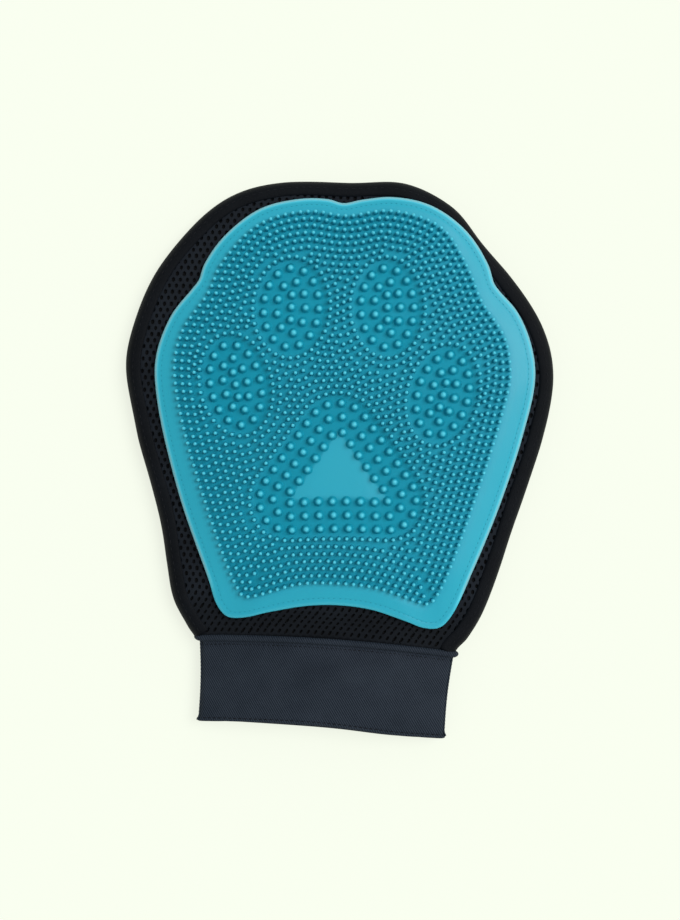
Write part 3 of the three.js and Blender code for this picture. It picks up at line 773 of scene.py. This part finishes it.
# The palm mesh is pulled taut along the wrist: its holes are slanted and longer. Its struts are darker
# there, painted shade.
TAUT_FADE = (WRIST_Y + 25, WRIST_Y + 12)
TAUT_SLANT = math.radians(-32)
TAUT_STRETCH = (0.12, -0.26)
SHADE_FADE = (WRIST_Y + 22, WRIST_Y + 8)
SHADE_DEPTH = 0.3


def hand_region(inset_by):
    """The hand panel's outline, closed along the wrist."""
    edge = cut_hand_edge(inset_by, WRIST_Y - 0.6, 300)
    return np.vstack([edge, resample(np.array([edge[-1], edge[0]]), 60, closed=False)[1:-1]])


def honeycomb(region):
    """Cells that fill a region: their centres, their shared corners, and the six corners of each."""
    columns, rows = (a.ravel() for a in np.meshgrid(np.arange(-40, 41), np.arange(-50, 50)))
    centres = np.column_stack([
        (columns + 0.5 * (rows % 2)) * MESH_PITCH, rows * MESH_PITCH * math.sqrt(0.75) + HAND_CENTRE[1],
    ])
    centres = centres[signed_depth(centres, region) > -0.4 * MESH_PITCH]
    reach = MESH_PITCH / math.sqrt(3)
    flat = (centres[:, None] + reach * np.column_stack([np.cos(HEXAGON), np.sin(HEXAGON)])).reshape(-1, 2)
    keys, index = np.unique(np.round(flat / 0.05).astype(int), axis=0, return_inverse=True)
    corners = np.zeros((len(keys), 2))
    corners[index.ravel()] = flat
    outside = signed_depth(corners, region) < 0
    corners[outside] = nearest_on(corners[outside], region)[0]
    return centres, corners, index.reshape(-1, 6)


def hole_ring(centres, width, taut):
    """The six points round each hole at one depth, oval, and slanted where the mesh is taut."""
    wobble = 1 + 0.07 * np.sin(centres[:, :1] * 1.7 + centres[:, 1:] * 2.3)
    radius = MESH_HOLE * width * wobble
    along = radius * (MESH_ASPECT[0] + TAUT_STRETCH[0] * taut) * np.sin(HEXAGON)
    across = radius * (MESH_ASPECT[1] + TAUT_STRETCH[1] * taut) * np.cos(HEXAGON)
    turn = TAUT_SLANT * taut
    oval = [across * np.cos(turn) - along * np.sin(turn), across * np.sin(turn) + along * np.cos(turn)]
    return (centres[:, None] + np.stack(oval, axis=-1)).reshape(-1, 2)


# Painted shade: the struts darken toward the wrist.
def strut_shade(xy):
    return 1 - SHADE_DEPTH * smooth(*SHADE_FADE, xy[:, 1])


def cell_sides(cells):
    """Each cell's six sides, as pairs of corners."""
    return [np.column_stack([cells[:, k], cells[:, (k + 1) % 6]]) for k in range(6)]


def air_mesh(name, face_height, back_height, holes_where, face_up):
    """Spacer mesh: hexagon cells with a blind hole in each, as one closed sheet."""
    region = hand_region(PANEL_INSET)
    centres, corners, cells = honeycomb(region)
    holed = holes_where(centres) & (signed_depth(centres, region) > 1.2)
    holes = centres[holed]
    taut = smooth(*TAUT_FADE, holes[:, 1:]) * (1 if face_up else 0)
    inward = -1.0 if face_up else 1.0
    points = [with_z(corners, face_height(corners)), with_z(corners, back_height(corners))]
    painted_shading = [strut_shade(corners)] * 2
    base = 2 * len(corners)
    previous, quads = cells[holed], []
    for width, depth in MESH_HOLE_PROFILE:
        ring = hole_ring(holes, width, taut)
        points.append(with_z(ring, face_height(ring) + inward * depth * MESH_HOLE_DEPTH))
        # painted shade, darker the deeper in each hole
        painted_shading.append(strut_shade(ring) * (1 - min(1, 1.6 * depth)))
        here = base + np.arange(len(ring)).reshape(-1, 6)
        base += len(ring)
        for outer, inner in zip(cell_sides(previous), cell_sides(here)):
            quads.append(np.column_stack([outer, inner[:, ::-1]]))
        previous = here
    edges = np.vstack(cell_sides(cells))
    _, first, uses = np.unique(np.sort(edges, axis=1), axis=0, return_index=True, return_counts=True)
    rim = edges[first[uses == 1]]
    walls = np.column_stack([rim[:, ::-1], rim + len(corners)])
    lower = cells[:, ::-1] + len(corners)
    faces = [np.vstack([cells[~holed], previous, lower]), np.vstack([*quads, walls])]
    return outward(build(name, np.vstack(points), faces, np.concatenate(painted_shading)))


def make_palm_mesh():
    """It has no holes where the pad covers it."""
    covered = inset(PAD_LOOP, STITCH_INSET)
    return air_mesh("palm_air_mesh", palm_face, lambda xy: palm_face(xy) - MESH_THICKNESS,
                    lambda centres: ~inside(centres, covered), True)


def make_back_mesh():
    return air_mesh("back_air_mesh", back_face, lambda xy: back_face(xy) + BACK_THICKNESS,
                    lambda centres: np.ones(len(centres), bool), False)


def lining(name, low_height):
    """A smooth thin sheet under a panel, with faint slack ripples."""
    region = resample(hand_region(LINING_INSET), 240)
    rings = []
    for share in np.linspace(0.05, 1, 40):
        xy = HAND_CENTRE + (region - HAND_CENTRE) * share
        ripple = 0.1 * np.sin(xy[:, 0] * 0.23 + xy[:, 1] * 0.11) * (1 - share**4)
        rings.append(with_z(xy, low_height(xy) + ripple))
    hub = with_z(HAND_CENTRE[None], low_height(HAND_CENTRE[None]))
    lift = (0, 0, LINING_THICKNESS)
    return outward(ring_stack(name, rings + [ring + lift for ring in rings[::-1]], hub, hub + lift))


# ---- binding


def edge_frames(inset_by, lowest_y, count):
    """A line along the hand's edge, with its outward and upward directions."""
    line = cut_hand_edge(inset_by, lowest_y, count)
    along = unit(np.gradient(line, axis=0))
    outwards = np.column_stack([along[:, 1], -along[:, 0], np.zeros(count)])
    return line, outwards, np.broadcast_to((0.0, 0.0, 1.0), (count, 3))


def binding_section():
    """The folded band's outer face, from its palm edge round the outside to its back edge."""
    low, high = BINDING_LOW, BINDING_HIGH
    return np.array([
        (-7.0, high - 0.9), (-6.7, high - 0.2), (-5.8, high + 0.1), (-4.7, high + 0.1),
        (-3.9, high + 0.04), (-3.45, high - 0.1), (-3.0, high - 0.16), (-2.3, high - 0.5),
        (-1.6, high - 1.05), (-0.9, high - 1.9), (-0.3, high - 3.0), (0, (low + high) / 2),
        (-0.25, low + 2.2), (-0.9, low + 1.0), (-2.0, low + 0.25), (-3.4, low),
        (-5.0, low), (-6.5, low + 0.1), (-7.0, low + 0.8),
    ])


def make_binding():
    """The folded band, puckered along its seam, with a softly uneven outer edge."""
    count = 620
    line, across, up = edge_frames(0, WRIST_Y - 1.9, count)
    outer = resample(binding_section(), 44, closed=False)
    tangent = unit(np.gradient(outer, axis=0))
    inner = outer + np.column_stack([tangent[:, 1], -tangent[:, 0]]) * BINDING_SKIN
    ring = np.vstack([outer, inner[::-1]])
    station = np.arange(count)[:, None]
    near_seam = np.exp(-(((ring[:, 0] + PALM_SEAM) / 1.6) ** 2)) * (ring[:, 1] > 6)
    swell = 0.14 * np.sin(station * 0.071 + 0.6) + 0.10 * np.sin(station * 0.163)
    section = np.repeat(ring[None], count, axis=0)
    section[..., 1] += 0.04 * np.sin(station * 2.1) * near_seam
    section[..., 0] += swell * (ring[:, 0] > -3)
    origins = np.column_stack([line, np.zeros(count)])
    return outward(sweep("edge_binding_band", section, origins, across, up))


def stitches(name, starts, ends, lift, radius, sides=6, rings=5):
    """A row of short threads, each a bowed closed capsule from one hole to the next."""
    along = ends - starts
    length = np.linalg.norm(along, axis=1)[:, None]
    along = along / length
    up = unit(lift - (lift * along).sum(axis=1)[:, None] * along)
    side = np.cross(along, up)
    t = np.linspace(0, 1, rings)
    width = radius * np.sqrt(np.clip(1 - (2 * t - 1) ** 6, 0.12, 1))
    bow = radius * 1.6 * (1 - (2 * t - 1) ** 2) - radius * 0.9
    angle = np.linspace(0, TAU, sides, endpoint=False)
    middle = starts[:, None] + (along * length)[:, None] * t[:, None] + up[:, None] * bow[:, None]
    ringed = (
        middle[:, :, None]
        + side[:, None, None] * (width[:, None] * np.cos(angle))[None, :, :, None]
        + up[:, None, None] * (width[:, None] * np.sin(angle))[None, :, :, None] * 0.8
    )
    ringed = ringed.reshape(len(starts), rings * sides, 3)
    points = np.concatenate([ringed, middle[:, :1], middle[:, -1:]], axis=1)
    parts = grid_faces(rings, sides), cap_faces(rings, sides)
    faces = [copies(part, len(starts), points.shape[1]) for part in parts]
    return build(name, points.reshape(-1, 3), faces)


def stitch_row(name, line, lift, pitch, length, radius, closed=False):
    """Stitches along a 3-D line, with a short gap between one and the next."""
    if closed:
        line, lift = np.vstack([line, line[:1]]), np.vstack([lift, lift[:1]])
    along = lengths_along(line)
    starts = np.arange(0.3, along[-1] - length, pitch)

    def at(where, what):
        return np.column_stack([np.interp(where, along, what[:, k]) for k in range(3)])

    return stitches(name, at(starts, line), at(starts + length, line), at(starts, lift), radius)


def make_binding_stitches(name, seam, height, side):
    line, _, up = edge_frames(seam, WRIST_Y, 500)
    return stitch_row(name, with_z(line, height), up * side, 3.0, 2.3, 0.2)


def make_pad_stitches():
    loop = inset(PAD_LOOP, STITCH_INSET)
    line = with_z(loop, pad_top(loop) - 0.24)
    up = np.broadcast_to((0.0, 0.0, 1.0), (len(loop), 3))
    return stitch_row("pad_stitch_line", line, up, 2.1, 1.45, 0.2, closed=True)


# ---- cuff


def cuff_ring(count):
    """The cuff's outer face at the wrist in x and z, clockwise, and its outward directions."""
    u = np.linspace(-1, 1, 81)
    crown = CUFF_SIDE_Z + (CUFF_CREST_Z - CUFF_SIDE_Z) * (1 - np.abs(u) ** 2.2)
    floor = CUFF_FLOOR_Z + CUFF_FLOOR_RISE * np.abs(u) ** 6
    palm = np.column_stack([u * CUFF_HALF_WIDTH, crown])
    back = np.column_stack([u * CUFF_HALF_WIDTH, floor])[::-1]
    side_x = CUFF_HALF_WIDTH + CUFF_BULGE
    right = [(side_x - 0.5, 7.2), (side_x, 5.6), (side_x - 0.4, 3.9)]
    left = [(-x, z) for x, z in right[::-1]]
    ring = resample(np.vstack([palm, right, back, left]), count)
    return ring, normals(ring)


def cuff_width(y):
    """Share of the wrist's width at a height down the cuff: it narrows, hollows and flares at the hem."""
    v = (WRIST_Y - y) / (WRIST_Y - CUFF_BOTTOM)
    hollow = CUFF_HOLLOW * np.sin(math.pi * np.clip(v, 0, 1))
    return 1 - CUFF_TAPER * v - hollow + CUFF_FLARE * smooth(0.93, 1.0, v)


def cuff_points(section, y):
    """Puts a section in x and z at height y, narrowed as the cuff is there."""
    x = CUFF_MIDDLE_X + section[:, 0] * cuff_width(y)
    share = np.clip((WRIST_Y - y) / (WRIST_Y - CUFF_BOTTOM), 0, 1)
    sag = HEM_SAG * share**2 * np.exp(-(((x - HEM_SAG_X) / HEM_SAG_REACH) ** 2))
    return np.column_stack([x, y - sag, section[:, 1]])


def cuff_surface(ring, ring_out, y, depth):
    """Points of a ring moved to height y and inward by depth, with the cuff's soft unevenness."""
    x, z = ring[:, 0], ring[:, 1]
    v = (WRIST_Y - y) / (WRIST_Y - CUFF_BOTTOM)
    wave_out = 0.16 * np.sin(x * 0.13 + v * 3.1) * np.sin(v * 5.0 + x * 0.05)
    gather = 0.07 * np.sin(x * 3.1 + np.sin(x * 0.4)) * np.exp(-(((y - CUFF_TOP) / 3.0) ** 2))
    gather -= 0.55 * np.exp(-(((y - CUFF_TOP + 0.9) / 0.6) ** 2))
    out = (wave_out + gather) * smooth(4.0, 8.0, z) - depth
    return cuff_points(ring + ring_out * out[:, None], y)


def cuff_sheet(name, count, rows):
    """A closed ring of cloth from rows of height and depth inside the cuff's outer face."""
    ring, ring_out = cuff_ring(count)
    points = [cuff_surface(ring, ring_out, y, depth) for y, depth in rows]
    return outward(build(name, np.vstack(points), [grid_faces(len(rows), count, wrap_rows=True)]))


def make_cuff_cover():
    """Knit folded double at the hem, a closed ring open toward the wrist, with room for the elastic."""
    low, high = CUFF_BOTTOM, CUFF_TOP + 1.2
    rows = [(y, 0.0) for y in np.linspace(high, low + 2.2, 44)]
    rows += [
        (low + 1.75, 0.03), (low + 1.5, 0.14), (low + 1.3, 0.15), (low + 1.1, 0.05), (low + 0.6, -0.06),
        (low + 0.2, 0.12), (low, 0.6), (low, CUFF_WALL - 0.6), (low + 0.3, CUFF_WALL - 0.1),
    ]
    rows += [(y, CUFF_WALL) for y in np.linspace(low + 1.0, high, 26)]
    rows += [(y, CUFF_WALL - CUFF_SKIN) for y in np.linspace(high, low + 1.2, 10)]
    rows += [(y, CUFF_SKIN) for y in np.linspace(low + 1.2, high, 10)]
    return cuff_sheet("cuff_knit_ring", 460, rows)


def make_cuff_elastic():
    """The band of elastic between the cover's two skins."""
    low, high = CUFF_BOTTOM + 1.4, CUFF_TOP + 0.8
    rows = [(y, CUFF_SKIN + GAP) for y in np.linspace(high, low, 14)]
    rows += [(y, CUFF_WALL - CUFF_SKIN - GAP) for y in np.linspace(low, high, 14)]
    return cuff_sheet("cuff_elastic_ring", 220, rows)


def make_wrist_seam():
    """The rolled ridge round the wrist and the tail of knit that runs on from it inside the cuff."""
    ring, ring_out = cuff_ring(460)
    ear = smooth(0.94, 1.0, np.abs(ring[:, 0]) / np.abs(ring[:, 0]).max())
    swell = 1 + ear * np.where(ring[:, 0] < 0, EAR_LEFT, EAR_RIGHT)
    middle_y = CUFF_TOP + 1.7
    roll = [
        (middle_y + RIDGE_RADIUS * math.sin(angle), RIDGE_RADIUS * math.cos(angle) * 0.95 + 0.3)
        for angle in map(math.radians, np.linspace(-60, 240, 15))
    ]
    inner, tail_end = -CUFF_WALL - 0.35, CUFF_TOP - 9.5
    tail = [(middle_y - 1.2, inner + 0.5)] + [(y, inner) for y in np.linspace(CUFF_TOP - 0.5, tail_end, 12)]
    back = [(y, inner - 0.6) for y in np.linspace(tail_end, middle_y + 0.4, 12)]
    points = []
    path = roll[::-1] + tail + back
    for y, out in path:
        gather = 0.06 * np.sin(ring[:, 0] * 3.1) * (out > -1)
        grown = out * np.where(out > 0, swell, 1) + gather
        points.append(cuff_points(ring + ring_out * grown[:, None], y))
    faces = grid_faces(len(path), len(ring), wrap_rows=True)
    return outward(build("wrist_seam_band", np.vstack(points), [faces]))


def cuff_stitches(name, y, pitch, length, radius, depth):
    """A row of stitches round the cuff, this deep in the face of the cover."""
    ring, ring_out = cuff_ring(500)
    line = cuff_surface(ring, ring_out, y, depth)
    lift = np.column_stack([ring_out[:, 0], np.zeros(len(ring)), ring_out[:, 1]])
    return stitch_row(name, line, lift, pitch, length, radius, closed=True)


def make_side_seam(side):
    """The overlocked ridge down one side of the cuff."""
    name = "cuff_side_seam_piece_" + ("right" if side > 0 else "left")
    count = 60
    y = np.linspace(CUFF_TOP + 0.6, CUFF_BOTTOM + 0.4, count)
    edge = (CUFF_HALF_WIDTH + CUFF_BULGE) * cuff_width(y) - 0.15
    angle = np.linspace(0, TAU, 14, endpoint=False)
    ripple = 1 + 0.12 * np.sin(np.arange(count) * 2.4)[:, None]
    sections = np.stack(np.broadcast_arrays(0.55 * np.cos(angle) * ripple, 1.5 * np.sin(angle)), axis=-1)
    origins = np.column_stack([CUFF_MIDDLE_X + side * edge, y, np.full(count, 5.5)])
    return outward(sweep(name, sections, origins, np.array([[1.0, 0, 0]]), np.array([[0, 0, 1.0]])))


# ---- assembly

CLOTHS = {  # dark and light tone, roughness, thread scale, bump depth, then sheen, angle and twill
    "lining": ((0.015, 0.015, 0.017), (0.025, 0.025, 0.028), 0.8, 1400, 0.00005),
    "binding": ((0.001, 0.0018, 0.0034), (0.0035, 0.005, 0.0078), 0.6, 1300, 0.00006, 0.06, 0.5),
    "cuff_knit": ((0.0065, 0.0105, 0.0175), (0.031, 0.0405, 0.057), 0.72, 370, 0.00011, 0.25, -0.6, 0.52),
    "elastic": ((0.03, 0.03, 0.033), (0.05, 0.05, 0.055), 0.8, 700, 0.0001),
    "thread": ((0.005, 0.006, 0.008), (0.012, 0.013, 0.017), 0.6, 2400, 0.00004),
    "pad_thread": ((0.012, 0.25, 0.36), (0.018, 0.29, 0.41), 0.5, 2400, 0.00004),
}
FINISH = {name: cloth_material(name, *settings) for name, settings in CLOTHS.items()}
FINISH |= {"silicone": silicone_material(), "air_mesh": air_mesh_material()}


def place(piece, slot, *nodes, body="hand"):
    """Gives a piece the material of its slot and hides the nodes it stands for; a cuff or wrist piece has
    its transform baked, any other is attached to its body's empty.
    """
    piece.data.materials.append(FINISH[slot])
    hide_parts(*nodes)
    if body == "cuff":
        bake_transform(piece)
    elif body == "wrist":
        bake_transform(piece)
    else:
        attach(piece, body)
    return piece


pad = place(make_pad(), "silicone", "silicone_pad")
pad_thread = place(make_pad_stitches(), "pad_thread", "pad_stitching")
palm = place(make_palm_mesh(), "air_mesh", "palm_mesh")
back = place(make_back_mesh(), "air_mesh", "back_panel")
palm_lining = place(
    lining("palm_lining_sheet", lambda xy: palm_face(xy) - MESH_THICKNESS - GAP - LINING_ROOM),
    "lining", "palm_lining",
)
back_lining = place(
    lining("back_lining_sheet", lambda xy: back_face(xy) + BACK_THICKNESS + GAP), "lining", "back_lining",
)
binding = place(make_binding(), "binding", "edge_binding")
palm_thread = place(
    make_binding_stitches("binding_palm_stitches", PALM_SEAM, BINDING_HIGH - 0.18, 1),
    "thread", "binding_needle_thread",
)
back_thread = place(
    make_binding_stitches("binding_back_stitches", BACK_SEAM, BINDING_LOW - 0.1, -1),
    "thread", "binding_bobbin_thread",
)
wrist = place(make_wrist_seam(), "cuff_knit", "wrist_seam_roll_palm", "wrist_seam_roll_back", body="wrist")
cover = place(make_cuff_cover(), "cuff_knit", "cuff_palm_cover", "cuff_back_cover", body="cuff")
elastic = place(make_cuff_elastic(), "elastic", "cuff_palm_elastic", "cuff_back_elastic", body="cuff")
top_thread = place(
    cuff_stitches("cuff_top_stitches", CUFF_TOP - 0.95, 1.9, 1.35, 0.2, 0.06),
    "thread", "cuff_palm_top_stitching", "cuff_back_top_stitching", body="cuff",
)
hem_thread = place(
    cuff_stitches("cuff_hem_stitches", CUFF_BOTTOM + 1.4, 2.2, 1.6, 0.18, 0.12),
    "thread", "cuff_palm_hem_stitching", "cuff_back_hem_stitching", body="cuff",
)
seams = [
    place(make_side_seam(side), "cuff_knit", "cuff_side_seam_" + where, body="cuff_back")
    for side, where in ((-1, "left"), (1, "right"))
]

# ---- floor, light and camera

CAMERA_HEIGHT = 0.55
SENSOR = 36
FRAME_LENGTH = 0.3915  # of the object's plane, along the picture's long side
ROLL = math.radians(3.8)
SKY_STRENGTH = 0.48
HORIZON = (0.95, 0.98, 0.86)
FLOOR_GLOW = 0.78
VIEW_CENTRE = np.array([-0.5, 1.3]) + SHIFT[:2]


def make_floor():
    """A plain pale floor that glows a little, so that shadows on it stay soft."""
    bpy.ops.mesh.primitive_plane_add(size=8, location=(0, 0, 0))
    floor = bpy.context.object
    floor.name = "floor"
    floor.data.materials.append(material(
        "floor", (0.2, 0.215, 0.18), 0.9, Specular_IOR_Level=0.0,
        Emission_Color=(0.965, 1.0, 0.89, 1), Emission_Strength=FLOOR_GLOW,
    )[0])


def make_sun(direction, width, strength):
    """A soft key light that comes from a direction; width is the angle it fills in the sky."""
    light = bpy.data.lights.new("key", "SUN")
    light.angle = width
    light.energy = strength
    lamp = bpy.data.objects.new("key", light)
    lamp.rotation_euler = Vector(direction).to_track_quat("Z", "Y").to_euler()
    bpy.context.scene.collection.objects.link(lamp)


def make_world():
    """An even soft sky, paler toward the horizon so that low views have a pale background too."""
    world = bpy.data.worlds.new("studio")
    world.use_nodes = True
    tree = world.node_tree
    place = add_node(tree, "ShaderNodeTexCoord")
    split = add_node(tree, "ShaderNodeSeparateXYZ")
    tree.links.new(place.outputs["Generated"], split.inputs["Vector"])
    sky = tuple(SKY_STRENGTH * part for part in (0.96, 1.0, 0.97))
    colour = colour_between(tree, split.outputs["Z"], [(0.0, HORIZON), (0.1, HORIZON), (0.3, sky)])
    tree.links.new(colour, tree.nodes["Background"].inputs["Color"])
    bpy.context.scene.world = world


def make_camera():
    """Straight above the hand, looking down, turned a little."""
    camera = bpy.data.cameras.new("camera")
    camera.sensor_fit = "VERTICAL"
    camera.sensor_height = SENSOR
    camera.lens = SENSOR * CAMERA_HEIGHT / FRAME_LENGTH
    holder = bpy.data.objects.new("camera", camera)
    holder.location = (VIEW_CENTRE[0] * MM, VIEW_CENTRE[1] * MM, CAMERA_HEIGHT)
    holder.rotation_euler = (0, 0, ROLL)
    bpy.context.scene.collection.objects.link(holder)
    bpy.context.scene.camera = holder


bpy.context.scene.view_settings.view_transform = "Standard"
make_floor()
make_world()
make_sun((0.52, 0.25, 0.82), math.radians(36), 2.0)
make_camera()
